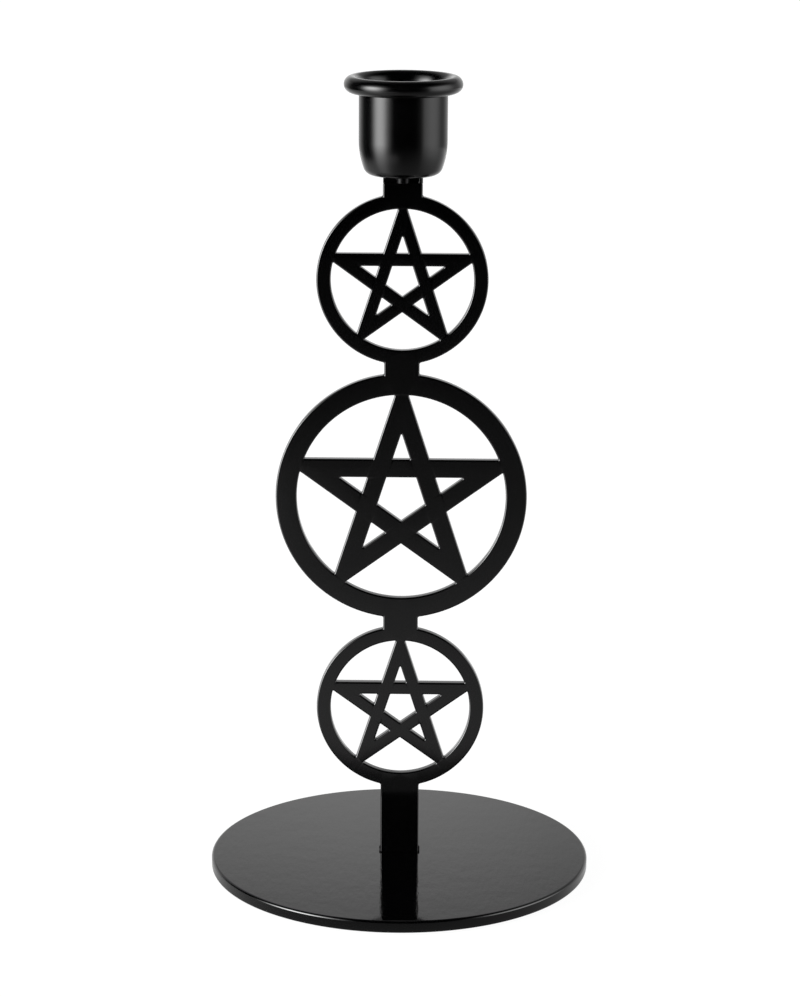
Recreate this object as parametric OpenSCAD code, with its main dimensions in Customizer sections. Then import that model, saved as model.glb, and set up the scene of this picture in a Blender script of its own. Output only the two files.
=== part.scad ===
// Candle holder: a laser-cut plate stem of three five-pointed star medallions,
// welded upright on a round base, with a drawn cup for one taper candle.
// Millimetres. The origin is on the table, under the middle of the base.

/* [Base plate] */
// Diameter of the round base
base_d = 118.8; // [90:0.1:150]
// Thickness of the base sheet
base_t = 3.8; // [2.5:0.1:6]
// Rounding of the coated edge of the base
base_edge_r = 0.8; // [0.2:0.1:1.2]

/* [Pads] */
// Diameter of one self-adhesive pad
pad_d = 12; // [8:1:18]
// Thickness of one pad
pad_t = 1; // [0.6:0.1:3]
// Bare rim between a pad and the edge of the base
pad_inset = 8; // [4:1:16]

/* [Stem plate] */
// Thickness of the stem sheet
plate_t = 3; // [2:0.1:5]
// Width of the straight foot and of the shoulder under the cup
foot_w = 12; // [9:0.1:18]
// Height of the foot from the base to the lowest medallion
foot_h = 22.3; // [12:0.1:50]
// Width of the two necks between medallions
neck_w = 10.8; // [6:0.1:16]
// Height of each neck
neck_h = 3; // [2:0.1:12]
// Height of the shoulder above the top medallion
shoulder_h = 3.4; // [2:0.1:12]

/* [Medallions] */
// Outer diameter of the large middle medallion
large_d = 77.4; // [64:0.1:96]
// Width of the large medallion's ring
large_band = 6.5; // [4:0.1:8]
// Width of the bars of the large star
large_bar = 5.7; // [3.5:0.1:6.5]
// Outer diameter of the small upper and lower medallions
small_d = 52.2; // [46:0.1:62]
// Width of the small medallions' rings
small_band = 4.4; // [2.5:0.1:5.5]
// Width of the bars of the small stars
small_bar = 3.85; // [2.4:0.05:4.4]

/* [Candle cup] */
// Bore of the cup, for a taper candle of 22 to 24 mm
cup_bore_d = 24.7; // [20:0.1:30]
// Thickness of the drawn cup's sheet
cup_wall = 1; // [0.8:0.1:1.2]
// Height of the cup from its underside to the top of the rim
cup_h = 29.6; // [26:0.1:45]
// Height at which the straight wall starts to draw in
cup_belly_h = 10.5; // [8:0.1:14]
// Radius of the long curve below the straight wall
cup_belly_r = 25.5; // [20:0.5:40]
// Radius of the corner round the flat underside
cup_corner_r = 3; // [2:0.1:4.5]
// Radius of the rolled rim's own section
rim_roll_r = 2.5; // [1.8:0.1:3.2]
// How far the roll's inner side stands out from the bore
rim_step = 0.5; // [0.3:0.05:0.8]
// Radius of the flare that leads the bore into the roll
rim_flare_r = 8; // [6:0.5:14]
// Gap between the roll's tucked edge and the wall
rim_gap = 0.3; // [0.2:0.05:0.5]

/* [Cup rivet] */
// Diameter of the collar between the shoulder and the cup
collar_d = 4.1; // [3.6:0.1:6]
// Height of the collar, which holds the cup clear of the shoulder
collar_h = 2.5; // [1:0.1:3.5]
// Diameter of the shank through the cup's floor
shank_d = 3; // [2:0.1:3.2]
// Gap all round the shank in the cup's floor
shank_gap = 0.05; // [0.02:0.01:0.1]
// Diameter of the domed head inside the cup
head_d = 6; // [4.4:0.1:9]
// Height of the domed head
head_h = 1.4; // [0.8:0.1:2.2]

/* [Welds] */
// Diameter of the tack where it meets the cup and the shoulder
tack_d = 1.5; // [1:0.1:2.5]
// Diameter of the tack's waist
tack_waist_d = 1.1; // [0.6:0.1:1.5]
// Radius of the weld bead behind the foot
bead_r = 1.4; // [1:0.1:3]
// How far the bead's ends wrap past the sides of the foot
bead_wrap = 0.4; // [0.2:0.05:0.8]
// How far the seam behind the shoulder laps over its top
seam_lap = 0.7; // [0.5:0.1:0.9]
// How far the seam reaches down behind the shoulder
seam_drop = 1; // [0.8:0.1:1.6]
// How far the seam is flattened against the cup
seam_flat = 0.3; // [0.2:0.1:0.5]
// Rounding of the seam's two ends
seam_end_r = 0.3; // [0.1:0.05:0.6]

/* [Hidden] */
$fn = 96;

// Black powder coat, and the dark grey of the pads
coat_black = [0.07, 0.07, 0.075];
pad_grey = [0.17, 0.17, 0.18];

// A cut runs past the face that it opens by this much
overrun = 1;

// Tips of a star, the turn from one to the next, and half the angle of a tip
star_tips = 5;
star_turn = 360 / star_tips;
half_tip = star_turn / 4;

// Turn from one pad to the next, and of the first pad
pad_turn = 90;
first_pad = 45;

// Segments of each arc in a turned outline
arc_steps = 12;

// Heights from the table
base_top = pad_t + base_t;
large_r = large_d / 2;
small_r = small_d / 2;
lower_z = base_top + foot_h + small_r;
middle_z = lower_z + small_r + neck_h + large_r;
upper_z = middle_z + large_r + neck_h + small_r;
shoulder_z = upper_z + small_r + shoulder_h;
cup_z = shoulder_z + collar_h;

// Radius on which the pads sit
pad_ring_r = base_d / 2 - pad_inset - pad_d / 2;

// Candle cup, heights from its underside
bore_r = cup_bore_d / 2;
cup_r = bore_r + cup_wall;
belly_c = [cup_r - cup_belly_r, cup_belly_h];
corner_c = [belly_c.x + sqrt(pow(cup_belly_r - cup_corner_r, 2) - pow(cup_belly_h - cup_corner_r, 2)),
            cup_corner_r];
belly_turn = asin((cup_belly_h - cup_corner_r) / (cup_belly_r - cup_corner_r));
roll_c = [bore_r + rim_step + rim_roll_r, cup_h - rim_roll_r];
flare_reach = rim_flare_r - rim_roll_r;
flare_c = [bore_r + rim_flare_r, roll_c.y - sqrt(pow(flare_reach, 2) - pow(flare_reach - rim_step, 2))];
flare_turn = atan2(roll_c.y - flare_c.y, roll_c.x - flare_c.x);
tuck_turn = acos((roll_c.x - cup_r - rim_gap) / rim_roll_r) - 180;

function polar(r, a) = [r * cos(a), r * sin(a)];

// Points of an arc about c from angle a to angle b, without the first
function arc(c, r, a, b) = [for (i = [1:arc_steps]) c + polar(r, a + (b - a) * i / arc_steps)];

// One side of the cup's sheet, drawn in by inset: up from the floor and round the rolled rim
function cup_side(inset) = concat(
    [[corner_c.x, inset]],
    arc(corner_c, cup_corner_r - inset, -90, -belly_turn),
    arc(belly_c, cup_belly_r - inset, -belly_turn, 0),
    [[cup_r - inset, flare_c.y]],
    arc(flare_c, rim_flare_r - cup_wall + inset, 180, flare_turn),
    arc(roll_c, rim_roll_r - cup_wall + inset, flare_turn, 0),
    arc(roll_c, rim_roll_r - cup_wall + inset, 0, tuck_turn));

function reversed(points) = [for (i = [len(points) - 1:-1:0]) points[i]];

// Disc with both rims rounded, standing on its flat face
module rounded_disc(r, h, edge) {
    rotate_extrude() {
        square([r - edge, h]);
        translate([0, edge]) square([r, h - 2 * edge]);
        for (z = [edge, h - edge]) translate([r - edge, z]) circle(edge);
    }
}

// Star whose tips lie on a circle of radius r
module star(r) {
    hollow_r = r * cos(star_turn) / cos(star_turn / 2);
    polygon([for (k = [1:2 * star_tips]) polar(k % 2 == 0 ? r : hollow_r, 90 + k * star_turn / 2)]);
}

// Openings that leave the star as five crossing bars: one in each tip and the middle one
module star_windows(r, bar) {
    outer_edge = r * cos(star_turn);
    inner_edge = outer_edge - bar;
    half_base = (inner_edge - outer_edge * sin(half_tip)) / cos(half_tip);
    rotate(-90) circle(inner_edge / cos(star_turn / 2), $fn = star_tips);
    for (k = [1:star_tips]) {
        rotate(k * star_turn)
            polygon([[-half_base, outer_edge], [half_base, outer_edge], [0, inner_edge / sin(half_tip)]]);
    }
}

// Ring with its star, upright tip at the top
module medallion(d, band, bar) {
    difference() {
        circle(d / 2);
        difference() {
            circle(d / 2 - band);
            star(d / 2);
        }
        star_windows(d / 2, bar);
    }
}

// Strip of the stem between two heights
module strip(w, low, high) {
    translate([-w / 2, low]) square([w, high - low]);
}

// Round base that the stem is welded to
module base_plate() {
    color(coat_black) translate([0, 0, pad_t]) rounded_disc(base_d / 2, base_t, base_edge_r);
}

// One-piece stem: foot, three medallions, two necks and the shoulder for the cup
module stem_plate() {
    color(coat_black) translate([0, plate_t / 2, 0]) rotate([90, 0, 0]) linear_extrude(plate_t) {
        strip(foot_w, base_top, lower_z - small_r + small_band / 2);
        translate([0, lower_z]) medallion(small_d, small_band, small_bar);
        strip(neck_w, lower_z + small_r - small_band / 2, middle_z - large_r + large_band / 2);
        translate([0, middle_z]) medallion(large_d, large_band, large_bar);
        strip(neck_w, middle_z + large_r - large_band / 2, upper_z - small_r + small_band / 2);
        translate([0, upper_z]) medallion(small_d, small_band, small_bar);
        strip(foot_w, upper_z + small_r - small_band / 2, shoulder_z);
    }
}

// Drawn cup with a rolled rim and a hole for the rivet in its floor
module candle_cup() {
    hole_r = shank_d / 2 + shank_gap;
    color(coat_black) translate([0, 0, cup_z]) rotate_extrude()
        polygon(concat([[hole_r, 0]], cup_side(0), reversed(cup_side(cup_wall)), [[hole_r, cup_wall]]));
}

// Rivet: collar on the shoulder, shank through the cup's floor, domed head inside
module cup_rivet() {
    collar_r = collar_d / 2;
    shank_r = shank_d / 2;
    head_r = head_d / 2;
    head_z = collar_h + cup_wall;
    dome_r = (pow(head_r, 2) + pow(head_h, 2)) / (2 * head_h);
    dome_c = [0, head_z + head_h - dome_r];
    color(coat_black) translate([0, 0, shoulder_z]) rotate_extrude() polygon(concat(
        [[0, 0], [collar_r, 0], [collar_r, collar_h], [shank_r, collar_h], [shank_r, head_z], [head_r, head_z]],
        arc(dome_c, dome_r, acos(head_r / dome_r), 90)));
}

// Tack between the shoulder's right end and the cup's underside
module cup_tack_weld() {
    color(coat_black) translate([(foot_w - tack_d) / 2, 0, shoulder_z]) {
        cylinder(h = collar_h / 2, d1 = tack_d, d2 = tack_waist_d);
        translate([0, 0, collar_h / 2]) cylinder(h = collar_h / 2, d1 = tack_waist_d, d2 = tack_d);
    }
}

// Seam along the back of the shoulder, up to the cup's underside and round the rivet's collar
module cup_seam_weld() {
    seam_r = (collar_h + seam_drop + seam_flat) / 2;
    half_l = foot_w / 2;
    color(coat_black) difference() {
        translate([-half_l, plate_t / 2 + seam_r - seam_lap, cup_z + seam_flat - seam_r])
            rotate([0, 90, 0]) rounded_disc(seam_r, foot_w, seam_end_r);
        translate([-half_l - overrun, -plate_t / 2, shoulder_z - 2 * seam_r])
            cube([foot_w + 2 * overrun, plate_t, 2 * seam_r]);
        translate([-half_l - overrun, -plate_t / 2, cup_z])
            cube([foot_w + 2 * overrun, plate_t + 2 * seam_r, seam_flat + overrun]);
        translate([0, 0, shoulder_z - overrun]) cylinder(h = collar_h + 2 * overrun, d = collar_d);
    }
}

// Weld bead along the back of the foot, wrapped round its two corners
module foot_weld() {
    half_l = foot_w / 2 + bead_wrap;
    color(coat_black) difference() {
        translate([-half_l, plate_t / 2, base_top]) rotate([0, 90, 0])
            rounded_disc(bead_r, 2 * half_l, bead_wrap);
        translate([-half_l - overrun, -bead_r - plate_t, base_top - bead_r - overrun])
            cube([2 * (half_l + overrun), 2 * (bead_r + plate_t), bead_r + overrun]);
        translate([-foot_w / 2, -plate_t / 2, base_top - overrun])
            cube([foot_w, plate_t, bead_r + 2 * overrun]);
    }
}

// Pad under the base, counted round from the right-hand back
module pad(number) {
    color(pad_grey) rotate(first_pad + (number - 1) * pad_turn) translate([pad_ring_r, 0, 0])
        cylinder(h = pad_t, d = pad_d);
}

base_plate();
stem_plate();
candle_cup();
cup_rivet();
cup_tack_weld();
cup_seam_weld();
foot_weld();
pad(1);  // pad_1
pad(2);  // pad_2
pad(3);  // pad_3
pad(4);  // pad_4
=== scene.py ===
from math import acos, asin, atan2, cos, degrees, pi, radians, sin, sqrt, tan

import bmesh
import bpy
from mathutils import Matrix, Vector


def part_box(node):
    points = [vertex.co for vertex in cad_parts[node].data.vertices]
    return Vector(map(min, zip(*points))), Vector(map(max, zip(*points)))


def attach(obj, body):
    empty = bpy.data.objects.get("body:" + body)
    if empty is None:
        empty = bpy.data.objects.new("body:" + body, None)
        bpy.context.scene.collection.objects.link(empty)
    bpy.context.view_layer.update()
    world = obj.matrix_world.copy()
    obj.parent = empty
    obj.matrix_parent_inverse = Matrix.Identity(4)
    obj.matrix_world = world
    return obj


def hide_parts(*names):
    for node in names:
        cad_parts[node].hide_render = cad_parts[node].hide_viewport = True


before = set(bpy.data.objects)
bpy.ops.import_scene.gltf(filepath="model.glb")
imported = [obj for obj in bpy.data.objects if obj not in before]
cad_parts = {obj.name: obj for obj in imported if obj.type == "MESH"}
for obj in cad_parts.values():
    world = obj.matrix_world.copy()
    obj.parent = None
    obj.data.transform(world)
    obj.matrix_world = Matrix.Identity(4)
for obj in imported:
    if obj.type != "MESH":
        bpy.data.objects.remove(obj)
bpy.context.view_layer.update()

mm = 0.001
print("frame loaded with", len(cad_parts), "nodes")


# the photograph's camera: angles in degrees, focal length and frame height in its own pixels
view = dict(distance=927.24 * mm, height=355.77 * mm, aside=-0.375 * mm,
            turn=0.8, pitch=14.248, roll=0.313,
            focalPixels=3101.9, framePixels=997, sensor=36, nearest=0.05, farthest=100)


def makeCamera():
    data = bpy.data.cameras.new("camera")
    data.sensor_width = view["sensor"]
    data.lens = view["focalPixels"] / view["framePixels"] * view["sensor"]
    data.clip_start, data.clip_end = view["nearest"], view["farthest"]
    camera = bpy.data.objects.new("camera", data)
    turn = Matrix.Rotation(radians(view["turn"]), 4, "Z")
    place = turn @ Matrix.Translation((view["aside"], -view["distance"], view["height"]))
    tilt = Matrix.Rotation(radians(90 - view["pitch"]), 4, "X")
    roll = Matrix.Rotation(radians(view["roll"]), 4, "Z")
    camera.matrix_world = place @ tilt @ roll
    bpy.context.scene.collection.objects.link(camera)
    bpy.context.scene.camera = camera


makeCamera()
print("camera placed")


def arcPoints(centre, radius, start, end, step):
    # points of an arc from start to end, both included and about step degrees apart
    count = max(2, round(abs(end - start) / step))
    turns = [radians(start + (end - start) * i / count) for i in range(count + 1)]
    return [(centre[0] + radius * cos(a), centre[1] + radius * sin(a)) for a in turns]


def roundCorners(points, radius, step, blunt):
    # corners of a closed outline become arcs, as a cutter and a coat leave them, unless they are
    # blunter than blunt
    result = []
    for before, point, after in zip(points[-1:] + points[:-1], points, points[1:] + points[:1]):
        corner = Vector(point)
        one, other = [(Vector(end) - corner).normalized() for end in (before, after)]
        half = one.angle(other) / 2
        if half > radians(blunt / 2):
            result.append(point)
            continue
        middle = corner + (one + other).normalized() * radius / sin(half)
        start = one * radius / tan(half) + corner - middle
        bend = degrees(start.angle_signed(other * radius / tan(half) + corner - middle))
        first = degrees(atan2(start.y, start.x))
        result += arcPoints(middle, radius, first, first - bend, step)
    return result


# vertices closer than merge become one, and an edge whose ends differ less than level lies flat
finish = dict(merge=1e-7, level=1e-6, flatWeight=100)


def newPiece(name, bm, material, nodes):
    # a finished piece: its own mesh, riding on the body, in place of the CAD nodes it stands for
    bmesh.ops.remove_doubles(bm, verts=bm.verts, dist=finish["merge"])
    bmesh.ops.recalc_face_normals(bm, faces=bm.faces)
    for face in bm.faces:
        face.smooth = True
    mesh = bpy.data.meshes.new(name)
    bm.to_mesh(mesh)
    bm.free()
    piece = bpy.data.objects.new(name, mesh)
    bpy.context.scene.collection.objects.link(piece)
    weighted = piece.modifiers.new("flatsStayFlat", "WEIGHTED_NORMAL")
    weighted.weight = finish["flatWeight"]
    mesh.materials.append(material)
    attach(piece, "root")
    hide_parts(*nodes)


def newMaterial(name):
    material = bpy.data.materials.new(name)
    material.use_nodes = True
    nodes = material.node_tree.nodes
    nodes.clear()
    surface = nodes.new("ShaderNodeOutputMaterial").inputs["Surface"]
    return material, nodes, material.node_tree.links, surface


def fade(nodes, links, source, low, high):
    # 0 at low and 1 at high, with a soft start and end
    span = nodes.new("ShaderNodeMapRange")
    span.interpolation_type = "SMOOTHSTEP"
    span.inputs["From Min"].default_value = low
    span.inputs["From Max"].default_value = high
    links.new(source, span.inputs["Value"])
    return span.outputs["Result"]


def distanceTo(nodes, links, source, spot):
    node = nodes.new("ShaderNodeVectorMath")
    node.operation = "DISTANCE"
    node.inputs[1].default_value = spot
    links.new(source, node.inputs[0])
    return node.outputs["Value"]


# what all the coats share: clouds of tone and of gloss, and the detail of the orange peel
coat = dict(ior=1.5, cloudDetail=3, cloudLow=0.3, cloudHigh=0.7, darker=0.8, lighter=1.25,
            smoother=0.9, rougher=1.1, waveDetail=2)
deepBlack = (0.0008, 0.0008, 0.0009)


def addWave(nodes, links, place, wave, below):
    # a bump over the one below it, with its size, its height and how far it is stretched along Y
    size, height, stretch = wave
    along = nodes.new("ShaderNodeMapping")
    along.inputs["Scale"].default_value = (1, 1 / stretch, 1)
    links.new(place, along.inputs["Vector"])
    noise = nodes.new("ShaderNodeTexNoise")
    noise.inputs["Scale"].default_value = 1 / size
    noise.inputs["Detail"].default_value = coat["waveDetail"]
    links.new(along.outputs["Vector"], noise.inputs["Vector"])
    bump = nodes.new("ShaderNodeBump")
    bump.inputs["Strength"].default_value = 1
    bump.inputs["Distance"].default_value = height
    links.new(noise.outputs["Fac"], bump.inputs["Height"])
    if below:
        links.new(below.outputs["Normal"], bump.inputs["Normal"])
    return bump


def powderCoat(name, look):
    material, nodes, links, surface = newMaterial(name)
    shader = nodes.new("ShaderNodeBsdfPrincipled")
    place = nodes.new("ShaderNodeTexCoord").outputs["Object"]
    shader.inputs["Metallic"].default_value = 0
    shader.inputs["IOR"].default_value = coat["ior"]
    shader.inputs["Specular IOR Level"].default_value = look["gloss"]
    links.new(shader.outputs["BSDF"], surface)

    # clouds vary the black and the gloss a little
    cloud = nodes.new("ShaderNodeTexNoise")
    cloud.inputs["Scale"].default_value = 1 / look["cloudSize"]
    cloud.inputs["Detail"].default_value = coat["cloudDetail"]
    links.new(place, cloud.inputs["Vector"])
    tone = nodes.new("ShaderNodeValToRGB")
    ends = [(coat["cloudLow"], coat["darker"]), (coat["cloudHigh"], coat["lighter"])]
    for element, (position, factor) in zip(tone.color_ramp.elements, ends):
        element.position = position
        element.color = (*[part * factor for part in look["black"]], 1)
    links.new(cloud.outputs["Fac"], tone.inputs["Fac"])
    links.new(tone.outputs["Color"], shader.inputs["Base Color"])
    rough = nodes.new("ShaderNodeMapRange")
    rough.inputs["From Min"].default_value = coat["cloudLow"]
    rough.inputs["From Max"].default_value = coat["cloudHigh"]
    rough.inputs["To Min"].default_value = look["roughness"] * coat["smoother"]
    rough.inputs["To Max"].default_value = look["roughness"] * coat["rougher"]
    links.new(cloud.outputs["Fac"], rough.inputs["Value"])
    links.new(rough.outputs["Result"], shader.inputs["Roughness"])

    # orange peel of the baked powder, with a slower wave under it
    bump = None
    for wave in look["waves"]:
        bump = addWave(nodes, links, place, wave, bump)
    if "heatWave" in look:
        # stronger peel round the place that the weld's heat reached
        bump = addWave(nodes, links, place, look["heatWave"], bump)
        gap = distanceTo(nodes, links, place, look["heatSpot"])
        links.new(fade(nodes, links, gap, look["heatReach"], 0), bump.inputs["Strength"])
    links.new(bump.outputs["Normal"], shader.inputs["Normal"])
    return material


# base plate
base = dict(edgeRound=0.8 * mm, edgeSegments=5, segments=192,
            black=deepBlack, gloss=0.5, roughness=0.06, cloudSize=12 * mm,
            waves=[(7 * mm, 0.014 * mm, 1), (1.1 * mm, 0.013 * mm, 4.5), (1 * mm, 0.003 * mm, 1)],
            heatWave=(1.6 * mm, 0.011 * mm, 2.5), heatSpot=(0, -32 * mm, 4.8 * mm),
            heatReach=34 * mm)


def roundDisc(node, disc):
    # a flat disc that fills a CAD node's box, with both rims rounded
    low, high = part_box(node)
    middle = (low + high) / 2
    bm = bmesh.new()
    bmesh.ops.create_circle(bm, cap_ends=True, segments=disc["segments"],
                            radius=(high.x - low.x) / 2,
                            matrix=Matrix.Translation((middle.x, middle.y, low.z)))
    grown = bmesh.ops.extrude_face_region(bm, geom=bm.faces[:])
    top = [v for v in grown["geom"] if isinstance(v, bmesh.types.BMVert)]
    bmesh.ops.translate(bm, verts=top, vec=(0, 0, high.z - low.z))
    rims = [e for e in bm.edges if abs(e.verts[0].co.z - e.verts[1].co.z) < finish["level"]]
    bmesh.ops.bevel(bm, geom=rims, offset=disc["edgeRound"], segments=disc["edgeSegments"],
                    profile=0.5, affect="EDGES", material=-1)
    return bm


newPiece("basePlate", roundDisc("base_plate", base), powderCoat("baseCoat", base),
         ["base_plate"])
print("base plate made")


# stem plate: bluntCorner is the widest corner that gets a radius, and edgeBend the least that an
# edge turns to be rounded by the coat, both in degrees
stem = dict(footWidth=12 * mm, footHeight=22.3 * mm, neckWidth=10.8 * mm, neckHeight=3 * mm,
            largeBand=6.5 * mm, largeBar=5.7 * mm,
            smallRadius=26.1 * mm, smallBand=4.4 * mm, smallBar=3.85 * mm, starTips=5,
            cornerRound=0.2 * mm, cornerStep=15, bluntCorner=120,
            coatRound=0.5 * mm, coatSegments=4, edgeBend=25, arcStep=2.5,
            black=deepBlack, gloss=0.5, roughness=0.09, cloudSize=9 * mm,
            waves=[(5 * mm, 0.01 * mm, 1), (1.2 * mm, 0.003 * mm, 1)])


def starWindows(centreZ, radius, band, bar):
    # the openings of a medallion: between star and ring, one in each tip, and one in the middle
    tips = stem["starTips"]
    tipTurn, halfTip = 360 / tips, 90 / tips
    outerEdge = radius * cos(radians(tipTurn))
    innerEdge = outerEdge - bar
    hollow = outerEdge / cos(radians(tipTurn / 2))
    reach = degrees(acos(outerEdge / (radius - band))) - tipTurn / 2
    halfBase = (innerEdge - outerEdge * sin(radians(halfTip))) / cos(radians(halfTip))
    corners = [(-halfBase, outerEdge), (halfBase, outerEdge), (0, innerEdge / sin(radians(halfTip)))]
    loops = []
    for k in range(tips):
        gap = 90 + tipTurn / 2 + tipTurn * k
        points = arcPoints((0, centreZ), radius - band, gap - reach, gap + reach, stem["arcStep"])
        points.append((hollow * cos(radians(gap)), centreZ + hollow * sin(radians(gap))))
        loops.append(points)
        turn = radians(tipTurn * k)
        loops.append([(x * cos(turn) - z * sin(turn), centreZ + x * sin(turn) + z * cos(turn))
                      for x, z in corners])
    middle = innerEdge / cos(radians(tipTurn / 2))
    turns = [radians(90 - tipTurn / 2 + tipTurn * k) for k in range(tips)]
    loops.append([(middle * cos(turn), centreZ + middle * sin(turn)) for turn in turns])
    return loops


def addLoop(bm, points, y):
    # a closed outline in the plane of the stem
    verts = [bm.verts.new((x, y, z)) for x, z in points]
    for pair in zip(verts, verts[1:] + verts[:1]):
        bm.edges.new(pair)


def makeStem():
    low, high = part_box("stem_plate")
    largeRadius = (high.x - low.x) / 2
    small, foot, neck = stem["smallRadius"], stem["footWidth"] / 2, stem["neckWidth"] / 2
    lowerZ = low.z + stem["footHeight"] + small
    middleZ = lowerZ + small + stem["neckHeight"] + largeRadius
    upperZ = middleZ + largeRadius + stem["neckHeight"] + small
    rings = [(lowerZ, small, stem["smallBand"], stem["smallBar"], foot, neck),
             (middleZ, largeRadius, stem["largeBand"], stem["largeBar"], neck, neck),
             (upperZ, small, stem["smallBand"], stem["smallBar"], neck, foot)]
    right = [(foot, low.z)]
    for z, radius, band, bar, under, over in rings:
        right += arcPoints((0, z), radius, degrees(asin(under / radius)) - 90,
                           90 - degrees(asin(over / radius)), stem["arcStep"])
    right.append((foot, high.z))
    bm = bmesh.new()
    for z, radius, band, bar, under, over in rings:
        for points in starWindows(z, radius, band, bar):
            rounded = roundCorners(points, stem["cornerRound"], stem["cornerStep"],
                                   stem["bluntCorner"])
            addLoop(bm, rounded, low.y)
    addLoop(bm, right + [(-x, z) for x, z in reversed(right)], low.y)
    bmesh.ops.triangle_fill(bm, use_beauty=True, edges=bm.edges[:], normal=(0, -1, 0))
    grown = bmesh.ops.extrude_face_region(bm, geom=bm.faces[:])
    back = [v for v in grown["geom"] if isinstance(v, bmesh.types.BMVert)]
    bmesh.ops.translate(bm, verts=back, vec=(0, high.y - low.y, 0))
    bmesh.ops.recalc_face_normals(bm, faces=bm.faces)
    bend = radians(stem["edgeBend"])
    edges = [e for e in bm.edges if e.is_manifold and e.calc_face_angle() > bend]
    bmesh.ops.bevel(bm, geom=edges, offset=stem["coatRound"], segments=stem["coatSegments"],
                    profile=0.5, affect="EDGES", material=-1)
    return bm


newPiece("stemPlate", makeStem(), powderCoat("stemCoat", stem), ["stem_plate"])
print("stem plate made")


# candle cup: a drawn sheet with a flat floor, a drawn-in belly, a flare and a rolled rim
cup = dict(bore=12.35 * mm, wall=1 * mm, cornerRadius=3 * mm,
           bellyHeight=10.5 * mm, bellyRadius=25.5 * mm,
           rollRadius=2.5 * mm, rollStep=0.5 * mm, flareRadius=8 * mm, rollGap=0.3 * mm,
           rivetHole=1.55 * mm, arcStep=6, bellyArcStep=2, rollArcStep=12, steps=144,
           black=deepBlack, gloss=0.25, roughness=0.15, cloudSize=8 * mm,
           waves=[(4 * mm, 0.006 * mm, 1), (0.9 * mm, 0.002 * mm, 1)])


def makeCup():
    low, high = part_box("candle_cup")
    wall, roll, flare = cup["wall"], cup["rollRadius"], cup["flareRadius"]
    outside = cup["bore"] + wall
    belly = (outside - cup["bellyRadius"], low.z + cup["bellyHeight"])
    reach = cup["bellyRadius"] - cup["cornerRadius"]
    rise = cup["bellyHeight"] - cup["cornerRadius"]
    corner = (belly[0] + sqrt(reach ** 2 - rise ** 2), low.z + cup["cornerRadius"])
    drop = degrees(asin(rise / reach))
    centre = (cup["bore"] + cup["rollStep"] + roll, high.z - roll)
    fall = sqrt((flare - roll) ** 2 - (flare - roll - cup["rollStep"]) ** 2)
    flareCentre = (cup["bore"] + flare, centre[1] - fall)
    lead = degrees(atan2(centre[1] - flareCentre[1], centre[0] - flareCentre[0]))
    tuck = degrees(acos((centre[0] - outside - cup["rollGap"]) / roll)) - 180
    sides = []
    for inset in (0, wall):
        side = arcPoints(corner, cup["cornerRadius"] - inset, -90, -drop, cup["arcStep"])
        side += arcPoints(belly, cup["bellyRadius"] - inset, -drop, 0, cup["bellyArcStep"])[1:]
        side += arcPoints(flareCentre, flare - wall + inset, 180, lead, cup["arcStep"])
        side += arcPoints(centre, roll - wall + inset, lead, tuck, cup["rollArcStep"])[1:]
        sides.append(side)
    section = [(cup["rivetHole"], low.z)] + sides[0] + sides[1][::-1]
    section.append((cup["rivetHole"], low.z + wall))
    bm = bmesh.new()
    verts = [bm.verts.new((r, 0, z)) for r, z in section]
    edges = [bm.edges.new(pair) for pair in zip(verts, verts[1:] + verts[:1])]
    bmesh.ops.spin(bm, geom=verts + edges, cent=(0, 0, 0), axis=(0, 0, 1),
                   angle=2 * pi, steps=cup["steps"], use_merge=True)
    return bm


newPiece("candleCup", makeCup(), powderCoat("cupCoat", cup), ["candle_cup"])
print("candle cup made")


# rivet and welds keep their CAD meshes under a matt coat
joint = dict(nodes=["cup_rivet", "cup_tack_weld", "cup_seam_weld", "foot_weld"],
             black=deepBlack, gloss=0.1, roughness=0.3, cloudSize=3 * mm,
             waves=[(2 * mm, 0.02 * mm, 1), (0.7 * mm, 0.006 * mm, 1)])
jointCoat = powderCoat("jointCoat", joint)
for name in joint["nodes"]:
    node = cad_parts[name]
    node.data.materials.clear()
    node.data.materials.append(jointCoat)
print("rivet and welds coated")


# pads: the foam is built as the coats are, but dull, greyer and coarse
pad = dict(nodes=["pad_1", "pad_2", "pad_3", "pad_4"],
           edgeRound=0.2 * mm, edgeSegments=5, segments=48,
           black=(0.03, 0.03, 0.032), gloss=0.2, roughness=0.9, cloudSize=2 * mm,
           waves=[(1.5 * mm, 0.05 * mm, 1), (0.4 * mm, 0.03 * mm, 1)])
padFoam = powderCoat("padFoam", pad)
for name in pad["nodes"]:
    newPiece(name.replace("_", ""), roundDisc(name, pad), padFoam, [name])
print("pads made")


# the stage: a pale floor for the camera, and a table and a room for the coats to mirror; the table
# is a glowing card with painted light and shade
def combine(nodes, links, operation, first, second):
    # a maths node on two values, each a number or another node's output
    node = nodes.new("ShaderNodeMath")
    node.operation = operation
    for socket, value in zip(node.inputs, (first, second)):
        if isinstance(value, (int, float)):
            socket.default_value = value
        else:
            links.new(value, socket)
    return node.outputs["Value"]


def rampOf(nodes, links, source, stops):
    # a brightness that follows a list of (value, brightness) pairs
    first, last = stops[0][0], stops[-1][0]
    span = nodes.new("ShaderNodeMapRange")
    span.inputs["From Min"].default_value = first
    span.inputs["From Max"].default_value = last
    links.new(source, span.inputs["Value"])
    ramp = nodes.new("ShaderNodeValToRGB")
    while len(ramp.color_ramp.elements) < len(stops):
        ramp.color_ramp.elements.new(0.5)  # its place is set below
    for element, (value, bright) in zip(ramp.color_ramp.elements, stops):
        element.position = (value - first) / (last - first)
        element.color = (bright, bright, bright, 1)
    links.new(span.outputs["Result"], ramp.inputs["Fac"])
    return ramp.outputs["Color"]


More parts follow.
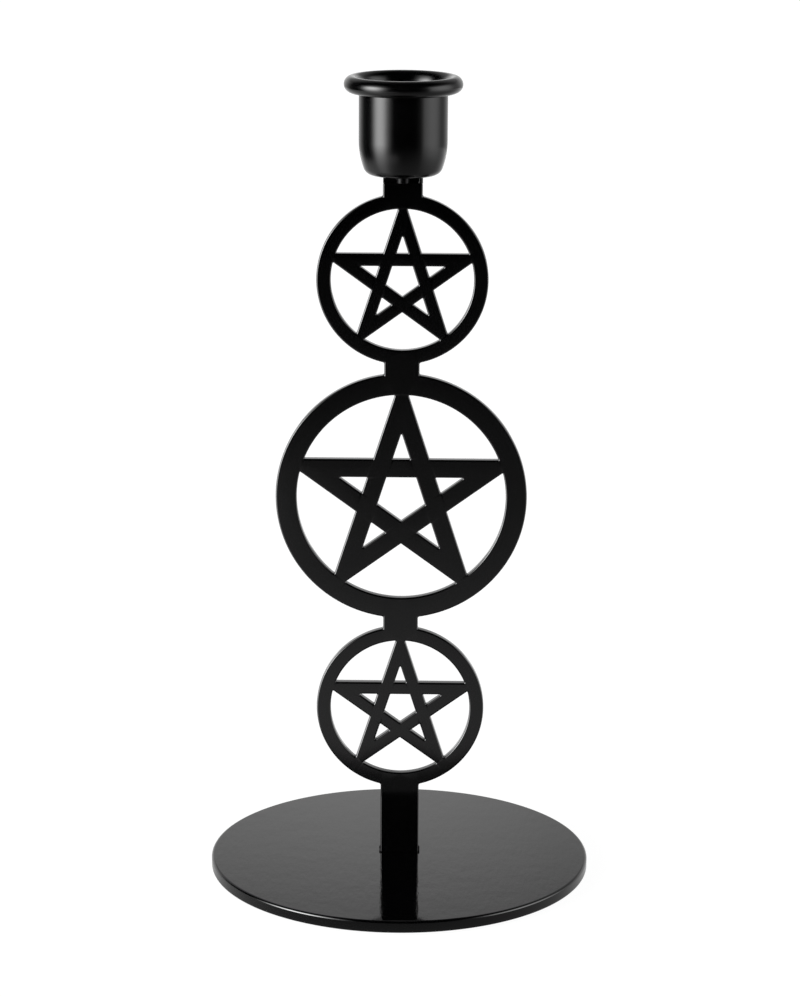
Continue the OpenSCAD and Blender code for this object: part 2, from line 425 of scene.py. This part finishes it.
def stageSheet(name, bm, height, material):
    mesh = bpy.data.meshes.new(name)
    bm.to_mesh(mesh)
    bm.free()
    sheet = bpy.data.objects.new(name, mesh)
    sheet.location.z = height
    bpy.context.scene.collection.objects.link(sheet)
    mesh.materials.append(material)
    return sheet


floorLook = dict(side=40, glow=0.965, paint=(0.1, 0.1, 0.1, 1))


def makeFloor():
    material, nodes, links, surface = newMaterial("floorPale")
    glow = nodes.new("ShaderNodeEmission")
    glow.inputs["Strength"].default_value = floorLook["glow"]
    matte = nodes.new("ShaderNodeBsdfDiffuse")
    matte.inputs["Color"].default_value = floorLook["paint"]
    both = nodes.new("ShaderNodeAddShader")
    links.new(glow.outputs["Emission"], both.inputs[0])
    links.new(matte.outputs["BSDF"], both.inputs[1])
    links.new(both.outputs["Shader"], surface)
    bm = bmesh.new()
    bmesh.ops.create_grid(bm, x_segments=1, y_segments=1, size=floorLook["side"] / 2)
    floor = stageSheet("floor", bm, 0, material)
    floor.visible_glossy = False
    floor.visible_diffuse = False


# the table card's glow by its place is painted light and shade, seen only in reflections: the glow,
# darker towards the camera, and the painted light close to the base run along Y, the painted shade
# on the far left along X, and each painted patch of light has its middle, reach and brightness
table = dict(radius=1.2, height=-0.3 * mm, segments=96,
             glow=[(-1.2, 0.02), (-1.06, 0.03), (-0.755, 0.065), (-0.47, 0.17), (-0.29, 0.34),
                   (-0.16, 0.45), (0.1, 0.5), (0.4, 0.55)],
             closePaintedLight=[(-0.08, 0.1), (-0.055, 0.28), (-0.02, 0.6), (0.1, 0.7)],
             nearReach=(0.13, 0.085), paintedLeftShade=(-0.7, -0.44),
             paintedPools=[((-0.35, 0.15, 0), 0.4, 0.4), ((-0.36, -0.14, 0), 0.42, 0.7),
                    ((-0.25, -0.45, 0), 0.25, 0.9)])


def makeTableCard():
    material, nodes, links, surface = newMaterial("paintedTableGlow")
    glow = nodes.new("ShaderNodeEmission")
    place = nodes.new("ShaderNodeTexCoord").outputs["Object"]
    split = nodes.new("ShaderNodeSeparateXYZ")
    links.new(place, split.inputs["Vector"])
    # painted shade: the table's glow falls off towards the camera
    level = rampOf(nodes, links, split.outputs["Y"], table["glow"])
    # painted patches of light on the table's left side
    for middle, reach, bright in table["paintedPools"]:
        gap = distanceTo(nodes, links, place, middle)
        paintedPool = combine(nodes, links, "MULTIPLY", fade(nodes, links, gap, reach, 0), bright)
        level = combine(nodes, links, "ADD", level, paintedPool)
    # painted shade: the glow fades out on the table's far left
    paintedLeftShade = fade(nodes, links, split.outputs["X"], *table["paintedLeftShade"])
    links.new(combine(nodes, links, "MULTIPLY", level, paintedLeftShade), glow.inputs["Strength"])
    clear = nodes.new("ShaderNodeBsdfTransparent")
    far = nodes.new("ShaderNodeAddShader")
    links.new(glow.outputs["Emission"], far.inputs[0])
    links.new(clear.outputs["BSDF"], far.inputs[1])

    # close to the base the table hides the softboxes' lower halves, and glows with painted light
    # there:
    # painted shade dim in front of the base, brighter behind it
    close = nodes.new("ShaderNodeEmission")
    closePaintedLight = rampOf(nodes, links, split.outputs["Y"], table["closePaintedLight"])
    links.new(closePaintedLight, close.inputs["Strength"])
    reach = distanceTo(nodes, links, place, (0, 0, 0))
    both = nodes.new("ShaderNodeMixShader")
    links.new(fade(nodes, links, reach, *table["nearReach"]), both.inputs["Fac"])
    links.new(far.outputs["Shader"], both.inputs[1])
    links.new(close.outputs["Emission"], both.inputs[2])
    links.new(both.outputs["Shader"], surface)
    bm = bmesh.new()
    bmesh.ops.create_circle(bm, cap_ends=True, segments=table["segments"], radius=table["radius"])
    card = stageSheet("tableCard", bm, table["height"], material)
    card.visible_camera = False
    card.visible_diffuse = False
    card.visible_shadow = False


# the room's lights, each a brightness times a ramp around and a ramp up: around is the bearing
# from straight behind the object, right positive, and up the elevation, both in degrees
room = dict(radius=12, segments=48, rings=24)
backWall = dict(bright=1.05,
                around=[(-90, 0), (-75, 0.02), (-66, 0.05), (-60, 0.1), (-55, 0.22), (-49, 0.5),
                        (-40, 0.8), (-30, 0.95), (-8, 0.92), (-4.4, 0.96), (-2, 1.04),
                        (0.4, 0.99), (1.6, 0.92), (2.8, 0.8), (8, 0.8), (30, 0.85), (43, 0.7),
                        (55, 0.42), (65, 0.2), (75, 0.06), (85, 0)],
                up=[(-60, 0.3), (-30, 0.38), (-20, 0.45), (-12, 0.65), (-5, 0.85), (0, 0.96),
                    (6, 1), (13, 1), (19, 0.83), (20.4, 0.756), (21, 0.68), (21.6, 0.587),
                    (22.2, 0.48), (24, 0.5), (30, 0.54), (38, 0.5), (46, 0.4), (54, 0.26),
                    (62, 0.14), (72, 0.07), (85, 0.03)])
leftBox = dict(bright=24,
               around=[(-156, 0), (-150, 0.03), (-143, 0.15), (-137, 0.36), (-131, 0.69),
                       (-126, 0.92), (-120, 1.02), (-114, 1), (-107, 0.79), (-101, 0.45),
                       (-95, 0.15), (-89, 0.03), (-82, 0)],
               up=[(-62, 0.01), (-50, 0.02), (-37, 0.06), (-31, 0.09), (-26, 0.14), (-20, 0.24),
                   (-14, 0.4), (-9, 0.53), (-4, 0.7), (4, 0.92), (12, 1), (19, 0.95), (24, 0.7),
                   (29, 0.36), (34, 0.17), (40, 0.08), (48, 0.02), (58, 0)])
rightBox = dict(bright=4.4,
                around=[(48, 0), (56, 0.04), (64, 0.12), (70, 0.25), (75, 0.42), (83, 0.67),
                        (91, 0.865), (98, 0.97), (104, 1), (111, 0.93), (117, 0.81), (123, 0.65),
                        (128, 0.25), (134, 0.065), (142, 0.02), (150, 0)],
                up=[(-60, 0), (-45, 0.03), (-31, 0.12), (-24, 0.2), (-19, 0.36), (-14, 0.48),
                    (-9, 0.68), (-3, 0.9), (7, 1), (16, 1), (26, 0.88), (31, 0.5), (36, 0.2),
                    (44, 0.04), (52, 0)])


def makeDome():
    material, nodes, links, surface = newMaterial("roomGlow")
    glow = nodes.new("ShaderNodeEmission")
    place = nodes.new("ShaderNodeTexCoord").outputs["Object"]
    unit = nodes.new("ShaderNodeVectorMath")
    unit.operation = "NORMALIZE"
    links.new(place, unit.inputs[0])
    split = nodes.new("ShaderNodeSeparateXYZ")
    links.new(unit.outputs["Vector"], split.inputs["Vector"])
    around = combine(nodes, links, "ARCTAN2", split.outputs["X"], split.outputs["Y"])
    up = combine(nodes, links, "ARCSINE", split.outputs["Z"], 0)
    total = 0
    for light in (backWall, leftBox, rightBox):
        level = light["bright"]
        for source, stops in ((around, light["around"]), (up, light["up"])):
            turns = [(radians(angle), bright) for angle, bright in stops]
            level = combine(nodes, links, "MULTIPLY", rampOf(nodes, links, source, turns), level)
        total = combine(nodes, links, "ADD", level, total)
    links.new(total, glow.inputs["Strength"])
    links.new(glow.outputs["Emission"], surface)
    bm = bmesh.new()
    bmesh.ops.create_uvsphere(bm, u_segments=room["segments"], v_segments=room["rings"],
                              radius=room["radius"])
    dome = stageSheet("roomDome", bm, 0, material)
    dome.visible_camera = False


backdrop = dict(white=(1, 1, 1, 1), strength=1)


def makeWorld():
    world = bpy.data.worlds.new("studio")
    world.use_nodes = True
    background = world.node_tree.nodes["Background"]
    background.inputs["Color"].default_value = backdrop["white"]
    background.inputs["Strength"].default_value = backdrop["strength"]
    bpy.context.scene.world = world
    bpy.context.scene.view_settings.view_transform = "Standard"


makeFloor()
makeTableCard()
makeDome()
makeWorld()
print("stage and lights set")
